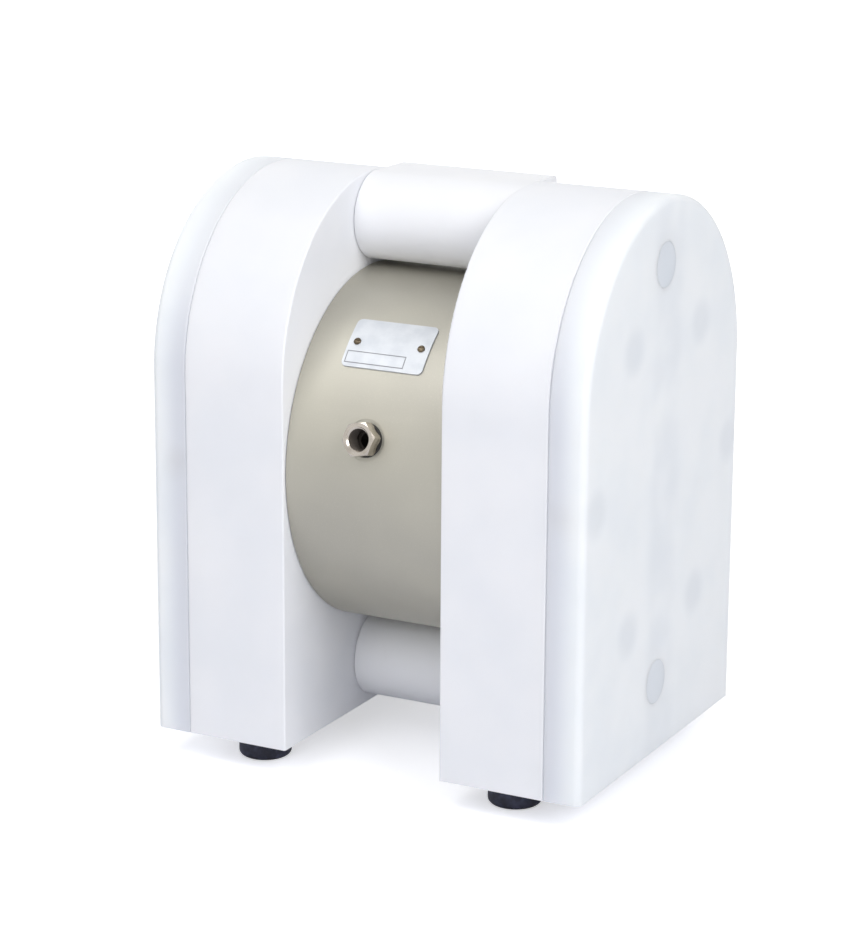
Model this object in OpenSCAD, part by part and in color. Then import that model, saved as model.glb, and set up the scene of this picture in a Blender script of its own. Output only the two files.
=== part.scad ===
// Air operated double diaphragm pump with two solid plastic end blocks.
// X runs along the diaphragm shaft, +Y points to the rear, where the ports are, +Z is up.
// The origin is on the floor, midway between the four feet. Sizes are in millimetres.

/* [End blocks] */
// Depth of the end blocks, front to rear
block_depth = 200; // [198:1:210]
// Height of the end blocks without the feet
block_height = 301; // [300:1:312]
// Clear distance between the two housings
gap = 93; // [90:1:100]
// Thickness of each housing
housing_t = 60; // [60:1:66]
// Thickness of each outer cover
cover_t = 21; // [20:1:26]
// Rounding of the covers' outer edges
cover_round = 4; // [2:0.5:6]
// Rounding of the other block edges
edge_round = 1; // [0.6:0.2:1.6]

/* [Centre block] */
// Diameter of the centre block
centre_d = 196; // [194:1:197]
// Height of the pump axis above the undersides of the blocks
axis_height = 152; // [152:1:154]

/* [Manifolds] */
// Diameter of the round front of each manifold, and its height
manifold_d = 48; // [44:1:48]
// Distance from each manifold's axis to the pump axis
manifold_offset = 124.5; // [124:0.5:125]
// Distance from each manifold's axis to its flat rear face
manifold_rear = 34; // [32:1:40]
// Diameter of the port's threaded hole, measured on the thread's crests
port_d = 30.3; // [24:0.1:30.3]
// Depth of the port's threaded hole
port_depth = 18; // [14:1:18]
// Diameter of the ways drilled for the pumped liquid
way_d = 20; // [16:1:20]

/* [Ball valves] */
// Diameter of the valve balls
ball_d = 24; // [22:1:24]
// Lift of each ball from its seat to the cage's cross bars
ball_lift = 6; // [4:0.5:6]
// Diameter of the hole through each valve seat
seat_d = 15; // [13:1:15]

/* [Diaphragms] */
// Travel of the shaft to each side of the middle
half_stroke = 8; // [6:0.5:8]
// Diameter of the clamping plates
clamp_d = 84; // [80:1:84]
// Thickness of the flexing web
membrane_t = 4; // [3:0.5:4]
// Diameter of the clamped rim
rim_d = 162; // [160:1:162]

/* [Air side] */
// Diameter of the diaphragm shaft
shaft_d = 18; // [16:1:18]
// Diameter of the air valve spool
spool_d = 18; // [14:1:18]
// Travel of the spool to each side of the middle
spool_travel = 4; // [3:0.5:4]
// Distance of the air valve's axis above the pump axis
valve_offset = 38; // [37:1:40]
// Angle of the air inlet above the horizontal
inlet_angle = 14.9; // [12:0.1:18]
// Diameter of the air inlet's threaded hole, measured on the thread's crests
inlet_d = 11.44; // [10:0.1:11.9]
// Width across the flats of the inlet fitting
inlet_flats = 17; // [17:1:19]
// Length of the exhaust silencer's slotted body
silencer_length = 42; // [30:1:60]

/* [Rating plate] */
// Width of the rating plate
plate_w = 47.6; // [40:0.2:50]
// Height of the rating plate
plate_h = 29.6; // [24:0.2:32]
// Angle of the plate's middle above the horizontal
plate_angle = 45.4; // [42:0.1:50]

/* [Fasteners and feet] */
// Diameter of the tie rods that hold the blocks together
rod_d = 8; // [7:0.5:8]
// Radius of the circle that the tie rods stand on
rod_circle = 87; // [87:0.5:88]
// Diameter of the rubber feet
foot_d = 29; // [26:1:32]
// Height of the rubber feet
foot_height = 16; // [14:0.5:18]
// Distance from the middle of the pump to the feet, front and rear
foot_y = 70; // [60:1:85]

/* [Hidden] */
$fn = 96;

// Where the main pieces stand
axis_z = foot_height + axis_height;
arch_z = foot_height + block_height - block_depth / 2;
housing_x = gap / 2;
cover_x = housing_x + housing_t;
outer_x = cover_x + cover_t;
foot_x = housing_x + housing_t / 2;
suction_z = axis_z - manifold_offset;
discharge_z = axis_z + manifold_offset;

// Rebate round the end of each piece that meets a housing
joint_gap = 0.5;
joint_depth = 1;

// Liquid chamber behind each diaphragm
chamber_depth = half_stroke + 4;
chamber_r = rim_d / 2 - 3;
chamber_lip = 3;
chamber_lip_depth = 2;
chamber_floor_r = clamp_d / 2 + 4;

// Upright valve column in each housing
column_r = ball_d / 2 + 4;
column_wall = 5.5;
column_x = housing_x + chamber_depth + column_wall + column_r;
column_top = discharge_z + way_d / 2 + 1.5;
transfer_r = 8;
transfer_offset = 62;

// Ball valves: a 45 degree seat cone touches the ball where its own slope is 45 degrees
seat_height = 8;
seat_cone = 3;
seat_clearance = 0.15;
seat_touch = ball_d / 2 * sqrt(0.5);
ball_rise = 2 * seat_touch - seat_d / 2 - seat_cone + seat_clearance;
suction_seat_z = suction_z + way_d / 2 + 0.5;
discharge_seat_z = discharge_z - way_d / 2 - 30.5;
cage_bar_z = ball_rise + ball_d / 2 + ball_lift + 0.3;
cage_bar_h = 4;
cage_bar_w = 4;
cage_wall = 2.8;
cage_window = 16;
cage_foot = 5;

// Screwed plug that closes each valve column from below
plug_r = column_r + 2;
plug_height = 16;
plug_groove = 4;
plug_socket = 14;
plug_socket_depth = 8;

// O-rings, as pressed into their grooves
seal_d = 1.9;
groove_w = 2.2;
groove_depth = 2;
shaft_seal_d = 2.6;

// Spigots of the manifolds
spigot_r = 15;
spigot_length = 9;
spigot_groove = 3;
corner_r = 3;

// Diaphragms and their clamping plates
rim_t = 5;
rim_w = 5;
membrane_x = housing_x - 7.5;
web_rise = housing_x - rim_t / 2 - membrane_x - membrane_t / 2;
web_bulge = 4;
web_steps = 12;
plate_t = 5;
liquid_plate_t = 6;
shaft_end = membrane_x - plate_t;
web_half = shaft_end - half_stroke - 1;
stud_r = 6;
stud_grip = 3;
dish_w = 5;
dish_depth = 2.5;
nose_r = 4;
running = 0.05;
fit_gap = 0.05;

// Bushes in the web
bush_r = 12;
bush_length = 12;

// Air valve
valve_z = axis_z + valve_offset;
valve_r = 18;
valve_seal_xs = [-17.5, -5.5, 5.5, 17.5];
valve_port_xs = [-11, 0, 11];
valve_port_r = 2;
sleeve_half = 22;
sleeve_groove_depth = 2.5;
sleeve_groove_w = 5;
circlip_t = 1.2;
circlip_w = 2.2;
circlip_grip = 1;
circlip_gap = 6;
cap_hole_r = 3;
spool_half = 16;
spool_land = 3;
spool_waist_depth = 3.5;

// Drilled ways for the air
gallery_z = valve_z + valve_r + 5;
gallery_r = 3;
gallery_end = housing_x - 6;
gallery_drop_r = 2.5;
air_way_r = 4;

// Fittings on the centre block
centre_r = centre_d / 2;
inlet_direction = 180 - inlet_angle;
exhaust_direction = inlet_angle;
plate_direction = 180 - plate_angle;
inlet_shank_r = 8.2;
inlet_bore_r = 4.2;
inlet_spot_r = 11;
exhaust_spot_r = 13;
inlet_turn = 12;
spot_depth = 0.8;
inlet_washer_t = 2;
inlet_washer_edge = 0.6;
inlet_hex_h = 8;
hexagon_bevel = 0.9;
shank_length = 12;
shank_hole = shank_length + 10;
silencer_r = 14;
silencer_bore_r = 6;
silencer_flats = 21;
silencer_hex_h = 8;
silencer_edge = 3;
silencer_slots = 12;
slot_w = 2;
slot_depth = 2.2;
slot_from = 5;
slot_to = 8;
plate_sheet = 0.8;
plate_lift = 0.05;
plate_corner = 3;
plate_screw_x = plate_w / 2 - 5;
plate_hole_r = 1.3;
plate_screw_r = 2;
plate_shank_r = 1.2;
plate_shank = 5;
plate_slot_w = 0.6;

// Tie rods, their nuts and the pockets in the covers
rod_angles = [30:60:330];
rod_play = 0.3;
rod_tip = 0.8;
washer_t = 1.6;
nut_flats = 13;
nut_h = 6.5;
rod_half = cover_x + washer_t + nut_h + 1.5;
pocket_depth = rod_half - cover_x + 1;
pocket_r = 11;

// Screws that hold the covers
cover_screw_y = -5;
cover_screw_zs = [axis_z + 114.3, axis_z - 112.5];
cover_head_r = 12;
cover_head_h = 7;
cover_shank_r = 6;
cover_screw_grip = 8;

// Threaded inserts that carry the feet
insert_r = 5;
insert_thread_r = 2.5;
insert_height = 34;
insert_recess = 0.8;
insert_thread_depth = 16;
foot_round = 3;

// Turns a shape that stands on Z to point outwards from the pump axis, a degrees above +Y
module radial(a) {
    translate([0, 0, axis_z]) rotate([a - 90, 0, 0]) children();
}

// Lays a shape that stands on Z along X, centred on the point (y, z)
module along_x(x, y, z) {
    translate([x, y, z]) rotate([0, 90, 0]) children();
}

// Round bar from x0 to x1, centred on the point (y, z)
module bar_x(x0, x1, y, z, r) {
    along_x(x0, y, z) cylinder(h = x1 - x0, r = r);
}

// Makes the left-hand piece from the right-hand one
module left() {
    mirror([1, 0, 0]) children();
}

// Makes the same piece on both sides
module both() {
    children();
    left() children();
}

// Half section of a slab: length along X, thickness along Y, with its far corners rounded
module slab_section(from, length, t, near, far) {
    most = max(near, far);
    translate([from, 0]) square([length - most - from, t]);
    translate([length - most - 0.5, near]) square([most + 0.5, t - near - far]);
    translate([length - most - 0.5, 0]) square([most - near + 0.5, near]);
    translate([length - most - 0.5, t - far]) square([most - far + 0.5, far]);
    translate([length - near, near]) circle(near);
    translate([length - far, t - far]) circle(far);
}

// Slab with upright sides and a half-round top, its near and far edges rounded
module block_slab(x, t, near, far) {
    along_x(x, 0, arch_z) rotate_extrude() slab_section(0, block_depth / 2, t, near, far);
    translate([x, 0, foot_height]) linear_extrude(arch_z - foot_height)
        for (side = [0, 1]) mirror([0, side, 0]) mirror([1, -1, 0])
            slab_section(-1, block_depth / 2, t, near, far);
}

// O-ring round Z, with its lowest point at z = 0
module o_ring(r, thick) {
    translate([0, 0, thick / 2]) rotate_extrude() translate([r, 0]) circle(thick / 2, $fn = 32);
}

// Hexagon bar standing on Z, with both of its ends chamfered to a circle
module hexagon(flats, h) {
    r = flats / sqrt(3);
    intersection() {
        cylinder(h = h, r = r, $fn = 6);
        rotate_extrude() polygon([[0, 0], [flats / 2, 0], [r, hexagon_bevel],
            [r, h - hexagon_bevel], [flats / 2, h], [0, h]]);
    }
}

// Places a shape that stands on Z along each tie rod's axis, from x outwards
module at_rods(x) {
    for (a = rod_angles)
        along_x(x, rod_circle * sin(a), axis_z + rod_circle * cos(a)) children();
}

// Places a shape at the middle of each foot
module at_feet(z) {
    for (x = [-foot_x, foot_x], y = [-foot_y, foot_y]) translate([x, y, z]) children();
}

// Hollow in the housing's inner face that takes the liquid
module liquid_chamber() {
    along_x(housing_x, 0, axis_z) rotate_extrude() polygon([[0, -1], [chamber_r, -1],
        [chamber_r, 0], [chamber_r - chamber_lip, chamber_lip_depth],
        [chamber_floor_r, chamber_depth], [0, chamber_depth]]);
}

// Bored column, the plug's thread below it and the ways that lead into it
module liquid_ways() {
    translate([column_x, 0, foot_height - 1]) cylinder(h = column_top - foot_height + 1,
        r = column_r);
    translate([column_x, 0, foot_height - 1]) cylinder(h = plug_height + 1, r = plug_r);
    for (z = [suction_z, discharge_z]) {
        bar_x(housing_x - 1, housing_x + spigot_length + 1, 0, z, spigot_r + fit_gap);
        bar_x(housing_x, column_x, 0, z, way_d / 2);
    }
    for (z = [axis_z - transfer_offset, axis_z + transfer_offset])
        bar_x(housing_x - 1, column_x, 0, z, transfer_r);
}

module housing() {
    difference() {
        block_slab(housing_x, housing_t, edge_round, edge_round);
        liquid_chamber();
        liquid_ways();
        at_rods(housing_x - 1) cylinder(h = housing_t + 2, r = rod_d / 2 + rod_play);
        for (z = cover_screw_zs)
            bar_x(cover_x - cover_screw_grip, cover_x + 1, cover_screw_y, z,
                cover_shank_r + fit_gap);
        for (y = [-foot_y, foot_y]) translate([foot_x, y, foot_height - 1])
            cylinder(h = insert_height - foot_height + 1, r = insert_r + fit_gap);
    }
}

module left_housing() {
    color([0.96, 0.96, 0.97]) left() housing();
}

module right_housing() {
    color([0.96, 0.96, 0.97]) housing();
}

// Outer cover with pockets for the tie rods' nuts
module cover() {
    difference() {
        block_slab(cover_x, cover_t, edge_round, cover_round);
        at_rods(cover_x - 1) cylinder(h = pocket_depth + 1, r = pocket_r);
        for (z = cover_screw_zs) {
            bar_x(cover_x - 1, outer_x, cover_screw_y, z, cover_shank_r + fit_gap);
            bar_x(outer_x - cover_head_h, outer_x + 1, cover_screw_y, z,
                cover_head_r + fit_gap);
        }
    }
}

module left_cover() {
    color([0.90, 0.92, 0.94]) left() cover();
}

module right_cover() {
    color([0.90, 0.92, 0.94]) cover();
}

// Flat-headed plastic screws, flush with the covers
module cover_screws() {
    color([0.86, 0.87, 0.89]) both() for (z = cover_screw_zs) {
        bar_x(outer_x - cover_head_h, outer_x, cover_screw_y, z, cover_head_r);
        bar_x(cover_x - cover_screw_grip + 0.5, outer_x - cover_head_h, cover_screw_y, z,
            cover_shank_r);
    }
}

// Chamber on the air side of a diaphragm, with the groove for the diaphragm's rim
module air_chamber() {
    along_x(0, 0, axis_z) rotate_extrude() polygon([[0, web_half], [clamp_d / 2 + 6, web_half],
        [rim_d / 2 - rim_w, housing_x - rim_t], [rim_d / 2, housing_x - rim_t],
        [rim_d / 2, housing_x + 1], [0, housing_x + 1]]);
}

// Drilling from the bottom of a threaded hole, a degrees above +Y, to the air valve
module air_way(a) {
    start = centre_r - shank_hole;
    dy = start * cos(a);
    dz = start * sin(a) - valve_offset;
    translate([0, 0, valve_z]) rotate([atan2(dz, dy) - 90, 0, 0])
        cylinder(h = norm([dy, dz]), r = air_way_r);
}

module centre_block() {
    color([0.80, 0.78, 0.71]) difference() {
        along_x(-housing_x, 0, axis_z) rotate_extrude() {
            square([centre_r - joint_depth, gap]);
            translate([0, joint_gap]) square([centre_r, gap - 2 * joint_gap]);
        }
        both() air_chamber();
        bar_x(-web_half - 1, web_half + 1, 0, axis_z, shaft_d / 2 + 0.5);
        both() bar_x(web_half - bush_length - shaft_seal_d - 0.1, web_half + 1, 0, axis_z,
            bush_r);
        bar_x(-web_half - 6, web_half + 6, 0, valve_z, valve_r);
        both() bar_x(sleeve_half - fit_gap, sleeve_half + circlip_t + fit_gap, 0, valve_z,
            valve_r + circlip_grip);
        both() bar_x(valve_port_xs[2] - gallery_r, gallery_end, 0, gallery_z, gallery_r);
        both() translate([valve_port_xs[2], 0, valve_z])
            cylinder(h = gallery_z - valve_z, r = gallery_drop_r);
        radial(inlet_direction) translate([0, 0, centre_r - spot_depth])
            cylinder(h = 2 * spot_depth, r = inlet_spot_r);
        radial(exhaust_direction) translate([0, 0, centre_r - spot_depth])
            cylinder(h = 2 * spot_depth, r = exhaust_spot_r);
        for (a = [inlet_direction, exhaust_direction]) {
            radial(a) translate([0, 0, centre_r - shank_hole])
                cylinder(h = shank_hole + 1, r = inlet_shank_r);
            air_way(a);
        }
        at_rods(-housing_x - 1) cylinder(h = gap + 2, r = rod_d / 2 + rod_play);
        for (x = [-plate_screw_x, plate_screw_x]) radial(plate_direction)
            translate([x, 0, centre_r - plate_shank - 1])
                cylinder(h = plate_shank + 2, r = plate_shank_r + fit_gap);
    }
}

// Cross-section of a manifold bar, smaller all round by the inset
module manifold_section(inset) {
    r = manifold_d / 2 - inset;
    rear = manifold_rear - inset;
    circle(r);
    translate([0, -r]) square([rear - corner_r, 2 * r]);
    translate([rear - corner_r - 1, corner_r - r]) square([corner_r + 1, 2 * (r - corner_r)]);
    for (side = [-1, 1]) translate([rear - corner_r, side * (r - corner_r)]) circle(corner_r);
}

// Manifold bar: round in front, flat above, below and behind, with a port in its rear face
module manifold(z) {
    difference() {
        union() {
            translate([-housing_x, 0, z]) rotate([90, 0, 90])
                linear_extrude(gap) manifold_section(joint_depth);
            translate([joint_gap - housing_x, 0, z]) rotate([90, 0, 90])
                linear_extrude(gap - 2 * joint_gap) manifold_section(0);
            both() difference() {
                bar_x(housing_x - 1, housing_x + spigot_length, 0, z, spigot_r);
                along_x(housing_x + spigot_groove, 0, z) rotate_extrude()
                    translate([spigot_r - groove_depth, 0]) square([groove_depth + 1, groove_w]);
            }
        }
        bar_x(-housing_x - spigot_length - 1, housing_x + spigot_length + 1, 0, z, way_d / 2);
        translate([0, manifold_rear + 1, z]) rotate([90, 0, 0])
            cylinder(h = port_depth + 1, r = port_d / 2);
        translate([0, manifold_rear, z]) rotate([90, 0, 0])
            cylinder(h = manifold_rear, r = way_d / 2 - 1);
    }
}

module discharge_manifold() {
    color([0.95, 0.95, 0.96]) manifold(discharge_z);
}

module suction_manifold() {
    color([0.95, 0.95, 0.96]) manifold(suction_z);
}

// O-rings, drawn as pressed into the grooves of the four spigots
module manifold_seals() {
    color([0.10, 0.10, 0.10]) both() for (z = [suction_z, discharge_z])
        along_x(housing_x + spigot_groove + (groove_w - seal_d) / 2, 0, z)
            o_ring(spigot_r - seal_d / 2, seal_d);
}

// Valve seat: a ring with a 45 degree cone for the ball
module seat(z) {
    translate([column_x, 0, z]) rotate_extrude() polygon([[seat_d / 2, 0],
        [column_r - fit_gap, 0], [column_r - fit_gap, seat_height],
        [seat_d / 2 + seat_cone, seat_height], [seat_d / 2, seat_height - seat_cone]]);
}

module left_suction_seat() {
    color([0.93, 0.93, 0.90]) left() seat(suction_seat_z);
}

module left_discharge_seat() {
    color([0.93, 0.93, 0.90]) left() seat(discharge_seat_z);
}

module right_suction_seat() {
    color([0.93, 0.93, 0.90]) seat(suction_seat_z);
}

module right_discharge_seat() {
    color([0.93, 0.93, 0.90]) seat(discharge_seat_z);
}

module ball(z) {
    translate([column_x, 0, z + seat_height + ball_rise]) sphere(ball_d / 2);
}

module left_suction_ball() {
    color([0.97, 0.97, 0.95]) left() ball(suction_seat_z);
}

module left_discharge_ball() {
    color([0.97, 0.97, 0.95]) left() ball(discharge_seat_z);
}

module right_suction_ball() {
    color([0.97, 0.97, 0.95]) ball(suction_seat_z);
}

module right_discharge_ball() {
    color([0.97, 0.97, 0.95]) ball(discharge_seat_z);
}

// Ball cage: a sleeve on the seat with four windows and a cross that stops the ball
module cage(z) {
    outer = column_r - fit_gap;
    height = cage_bar_z + cage_bar_h;
    translate([column_x, 0, z + seat_height]) {
        difference() {
            cylinder(h = height, r = outer);
            translate([0, 0, -1]) cylinder(h = height + 2, r = column_r - cage_wall);
            for (a = [0, 90]) rotate(a) translate([-column_r - 1, -cage_window / 2, cage_foot])
                cube([2 * column_r + 2, cage_window, cage_bar_z - cage_foot]);
        }
        intersection() {
            translate([0, 0, cage_bar_z]) cylinder(h = cage_bar_h, r = column_r - cage_wall + 0.5);
            for (a = [0, 90]) rotate(a) translate([-column_r, -cage_bar_w / 2, cage_bar_z])
                cube([2 * column_r, cage_bar_w, cage_bar_h]);
        }
    }
}

module left_suction_cage() {
    color([0.88, 0.89, 0.90]) left() cage(suction_seat_z);
}

module left_discharge_cage() {
    color([0.88, 0.89, 0.90]) left() cage(discharge_seat_z);
}

module right_suction_cage() {
    color([0.88, 0.89, 0.90]) cage(suction_seat_z);
}

module right_discharge_cage() {
    color([0.88, 0.89, 0.90]) cage(discharge_seat_z);
}

// Screwed plug under the valve column, with a hexagon socket and a seal groove
module column_plug() {
    translate([column_x, 0, foot_height]) difference() {
        cylinder(h = plug_height, r = plug_r - fit_gap);
        translate([0, 0, -1])
            cylinder(h = plug_socket_depth + 1, r = plug_socket / sqrt(3), $fn = 6);
        translate([0, 0, plug_height - plug_groove]) rotate_extrude()
            translate([plug_r - groove_depth, 0]) square([groove_depth + 1, groove_w]);
    }
}

module left_column_plug() {
    color([0.94, 0.94, 0.95]) left() column_plug();
}

module right_column_plug() {
    color([0.94, 0.94, 0.95]) column_plug();
}

module column_plug_seals() {
    lift = plug_height - plug_groove + (groove_w - seal_d) / 2;
    color([0.10, 0.10, 0.10]) both()
        translate([column_x, 0, foot_height + lift]) o_ring(plug_r - seal_d / 2, seal_d);
}

// Distance along X of the web's middle, at the share t of the way from hub to rim
function web_x(t) = membrane_x + membrane_t / 2 + web_rise * t + web_bulge * sin(180 * t);

// Diaphragm: a flat hub, one rolled convolution and a thick clamped rim
module diaphragm() {
    hub_r = clamp_d / 2 + 1;
    bead_r = rim_d / 2 - rim_w;
    steps = [for (i = [0:web_steps]) i / web_steps];
    along_x(0, 0, axis_z) rotate_extrude() polygon(concat(
        [[stud_r + running, membrane_x]],
        [for (t = steps) [hub_r + t * (bead_r - hub_r), web_x(t) - membrane_t / 2]],
        [[bead_r, housing_x - rim_t], [rim_d / 2 - fit_gap, housing_x - rim_t],
            [rim_d / 2 - fit_gap, housing_x], [bead_r, housing_x]],
        [for (t = steps) [bead_r - t * (bead_r - hub_r), web_x(1 - t) + membrane_t / 2]],
        [[stud_r + running, membrane_x + membrane_t]]));
}

module left_diaphragm() {
    color([0.15, 0.15, 0.16]) left() diaphragm();
}

module right_diaphragm() {
    color([0.15, 0.15, 0.16]) diaphragm();
}

// Clamping plate on the air side, dished away from the membrane at its edge
module air_plate() {
    along_x(0, 0, axis_z) rotate_extrude() polygon([[stud_r + running, shaft_end],
        [clamp_d / 2 - dish_w, shaft_end], [clamp_d / 2, shaft_end + dish_depth],
        [clamp_d / 2, membrane_x - 1], [clamp_d / 2 - 1, membrane_x],
        [stud_r + running, membrane_x]]);
}

module left_air_plate() {
    color([0.75, 0.76, 0.78]) left() air_plate();
}

module right_air_plate() {
    color([0.75, 0.76, 0.78]) air_plate();
}

// Clamping plate on the liquid side, closed in front of the shaft's stud
module liquid_plate() {
    x = membrane_x + membrane_t;
    along_x(0, 0, axis_z) rotate_extrude() difference() {
        union() {
            translate([0, x]) square([clamp_d / 2 - nose_r, liquid_plate_t]);
            translate([0, x + 1]) square([clamp_d / 2, liquid_plate_t - nose_r - 1]);
            translate([0, x]) square([clamp_d / 2 - 1, liquid_plate_t - nose_r]);
            intersection() {
                translate([clamp_d / 2 - nose_r, x + liquid_plate_t - nose_r]) circle(nose_r);
                translate([0, x]) square([clamp_d, liquid_plate_t]);
            }
            translate([clamp_d / 2 - 1, x + 1]) circle(1);
        }
        translate([-1, x - 1]) square([stud_r + running + 1, stud_grip + 1.6]);
    }
}

module left_liquid_plate() {
    color([0.92, 0.92, 0.93]) left() liquid_plate();
}

module right_liquid_plate() {
    color([0.92, 0.92, 0.93]) liquid_plate();
}

// Shaft with a reduced stud at each end for the clamping plates
module diaphragm_shaft() {
    color([0.70, 0.71, 0.73]) {
        bar_x(-shaft_end, shaft_end, 0, axis_z, shaft_d / 2);
        stud_end = membrane_x + membrane_t + stud_grip;
        bar_x(-stud_end, stud_end, 0, axis_z, stud_r);
    }
}

module shaft_bushes() {
    color([0.72, 0.58, 0.30]) both() along_x(web_half - bush_length, 0, axis_z) difference() {
        cylinder(h = bush_length, r = bush_r - fit_gap);
        translate([0, 0, -1]) cylinder(h = bush_length + 2, r = shaft_d / 2 + running);
    }
}

module shaft_seals() {
    color([0.10, 0.10, 0.10]) both()
        along_x(web_half - bush_length - shaft_seal_d - fit_gap, 0, axis_z)
            o_ring(bush_r - shaft_seal_d / 2 - fit_gap, shaft_seal_d);
}

// Sleeve of the air valve: grooves for its seals, with ports between them
module air_valve_sleeve() {
    color([0.80, 0.65, 0.35]) along_x(0, 0, valve_z) difference() {
        translate([0, 0, -sleeve_half]) cylinder(h = 2 * sleeve_half, r = valve_r - fit_gap);
        translate([0, 0, -sleeve_half - 1]) cylinder(h = 2 * sleeve_half + 2, r = spool_d / 2);
        for (x = valve_seal_xs) translate([0, 0, x - groove_w / 2]) rotate_extrude()
            translate([valve_r - groove_depth, 0]) square([groove_depth + 1, groove_w]);
        for (x = valve_port_xs) translate([0, 0, x]) {
            for (a = [0:60:300]) rotate([90, 0, a]) cylinder(h = valve_r + 1, r = valve_port_r);
            rotate_extrude() translate([valve_r - sleeve_groove_depth, -sleeve_groove_w / 2])
                square([sleeve_groove_depth + 1, sleeve_groove_w]);
        }
    }
}

module air_valve_seals() {
    color([0.10, 0.10, 0.10]) for (x = valve_seal_xs)
        along_x(x - seal_d / 2, 0, valve_z) o_ring(valve_r - seal_d / 2 - fit_gap, seal_d);
}

// Spool with three lands and two waists
module air_valve_spool() {
    land_r = spool_d / 2 - running;
    waist = spool_half - 2 * spool_land;
    color([0.62, 0.63, 0.66]) along_x(0, 0, valve_z) difference() {
        translate([0, 0, -spool_half]) cylinder(h = 2 * spool_half, r = land_r);
        for (x = [-spool_half + spool_land, spool_land]) translate([0, 0, x]) rotate_extrude()
            translate([land_r - spool_waist_depth, 0]) square([spool_waist_depth + 1, waist]);
    }
}

// Caps that close the ends of the sleeve's bore
module air_valve_caps() {
    color([0.30, 0.31, 0.33]) both() difference() {
        bar_x(spool_half + spool_travel + 0.5, sleeve_half, 0, valve_z, spool_d / 2 - fit_gap);
        bar_x(sleeve_half - 1, sleeve_half + 1, 0, valve_z, cap_hole_r);
    }
}

// Circlips that hold the sleeve in the centre block, each with a gap
module air_valve_circlips() {
    color([0.45, 0.46, 0.48]) both() along_x(sleeve_half, 0, valve_z) difference() {
        cylinder(h = circlip_t, r = valve_r + circlip_grip - 0.1);
        translate([0, 0, -1]) cylinder(h = circlip_t + 2, r = valve_r - circlip_w);
        translate([-circlip_gap / 2, -valve_r - circlip_w, -1])
            cube([circlip_gap, 2 * circlip_w + 1, circlip_t + 2]);
    }
}

// Hexagon fitting with a female thread for the air line
module air_inlet_fitting() {
    seat_r = centre_r - spot_depth;
    color([0.72, 0.72, 0.72]) radial(inlet_direction) difference() {
        union() {
            translate([0, 0, seat_r - shank_length])
                cylinder(h = shank_length + inlet_washer_t + 0.5, r = inlet_shank_r - fit_gap);
            translate([0, 0, seat_r + inlet_washer_t]) rotate(inlet_turn)
                hexagon(inlet_flats, inlet_hex_h);
        }
        translate([0, 0, seat_r - shank_length - 1])
            cylinder(h = shank_length, r = inlet_bore_r);
        translate([0, 0, seat_r - 2])
            cylinder(h = inlet_washer_t + inlet_hex_h + 3, r = inlet_d / 2);
    }
}

module air_inlet_washer() {
    color([0.12, 0.12, 0.12]) radial(inlet_direction)
        translate([0, 0, centre_r - spot_depth]) difference() {
            cylinder(h = inlet_washer_t, r = inlet_flats / 2 + inlet_washer_edge);
            translate([0, 0, -1]) cylinder(h = inlet_washer_t + 2, r = inlet_shank_r);
        }
}

// Exhaust silencer behind the centre block: hexagon foot and slotted porous body
module exhaust_silencer() {
    seat_r = centre_r - spot_depth;
    top = silencer_hex_h + silencer_length;
    color([0.34, 0.35, 0.37]) radial(exhaust_direction) difference() {
        union() {
            translate([0, 0, seat_r - shank_length])
                cylinder(h = shank_length + 1, r = inlet_shank_r - fit_gap);
            translate([0, 0, seat_r]) hexagon(silencer_flats, silencer_hex_h);
            translate([0, 0, seat_r]) rotate_extrude() polygon([[0, silencer_hex_h - 1],
                [silencer_r - 2, silencer_hex_h - 1], [silencer_r, silencer_hex_h + 1],
                [silencer_r, top - silencer_edge], [silencer_r - silencer_edge, top], [0, top]]);
        }
        translate([0, 0, seat_r - shank_length - 1])
            cylinder(h = shank_length + top - silencer_edge, r = silencer_bore_r);
        for (i = [0:silencer_slots - 1]) rotate(i * 360 / silencer_slots)
            translate([silencer_r - slot_depth, -slot_w / 2, seat_r + silencer_hex_h + slot_from])
                cube([slot_depth + 1, slot_w, silencer_length - slot_from - slot_to]);
    }
}

// Blank rating plate, bent to the centre block, with rounded corners
module rating_plate() {
    color([0.88, 0.89, 0.90]) difference() {
        intersection() {
            difference() {
                bar_x(-plate_w, plate_w, 0, axis_z, centre_r + plate_lift + plate_sheet);
                bar_x(-plate_w - 1, plate_w + 1, 0, axis_z, centre_r + plate_lift);
            }
            radial(plate_direction) linear_extrude(centre_r + 2) {
                square([plate_w - 2 * plate_corner, plate_h], center = true);
                square([plate_w, plate_h - 2 * plate_corner], center = true);
                for (x = [-1, 1], y = [-1, 1]) translate([x * (plate_w / 2 - plate_corner),
                    y * (plate_h / 2 - plate_corner)]) circle(plate_corner);
            }
        }
        for (x = [-plate_screw_x, plate_screw_x]) radial(plate_direction)
            translate([x, 0, centre_r - 2]) cylinder(h = 4, r = plate_hole_r);
    }
}

// Round-headed slotted screws that hold the rating plate
module plate_screws() {
    color([0.60, 0.58, 0.54]) for (x = [-plate_screw_x, plate_screw_x])
        radial(plate_direction) translate([x, 0, centre_r]) difference() {
            union() {
                translate([0, 0, -plate_shank]) cylinder(h = plate_shank + 1, r = plate_shank_r);
                translate([0, 0, plate_sheet + 2 * plate_lift]) rotate_extrude()
                    polygon([[0, 0], [plate_screw_r, 0], [plate_screw_r, 0.5],
                        [plate_screw_r - 0.5, 1], [plate_screw_r - 1.1, 1.25], [0, 1.3]]);
            }
            translate([-plate_screw_r - 1, -plate_slot_w / 2, plate_sheet + 0.9])
                cube([2 * plate_screw_r + 2, plate_slot_w, 2]);
        }
}

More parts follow.
